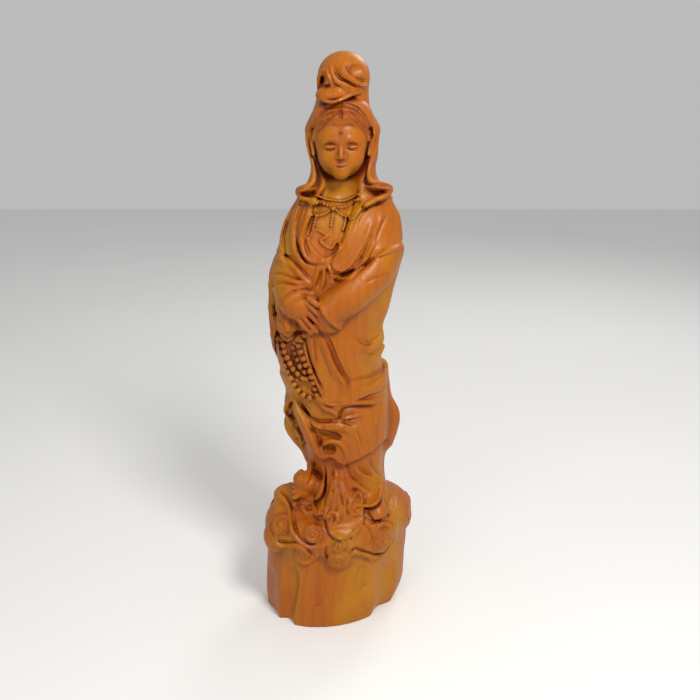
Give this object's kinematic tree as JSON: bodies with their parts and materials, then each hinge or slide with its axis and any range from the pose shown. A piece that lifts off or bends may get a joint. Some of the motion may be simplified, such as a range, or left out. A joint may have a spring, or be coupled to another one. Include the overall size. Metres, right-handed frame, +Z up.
{
  "type": "guanyin figure",
  "caption": "Standing hooded robed figure with crossed hands and prayer beads, carved in one with a rock-and-cloud plinth.",
  "frame": {"origin": "middle of the plinth's underside, under the middle of the part's bounding box", "axes": "+Z up, the figure faces -Y, +X to the viewer's right"},
  "size_m": [0.2442, 0.2266, 0.9003],
  "materials": {
    "carved_wood": "oiled orange-brown wood with a satin sheen"
  },
  "bodies": {
    "root": {"guanyin_figure": "carved_wood"}
  },
  "joints": []
}
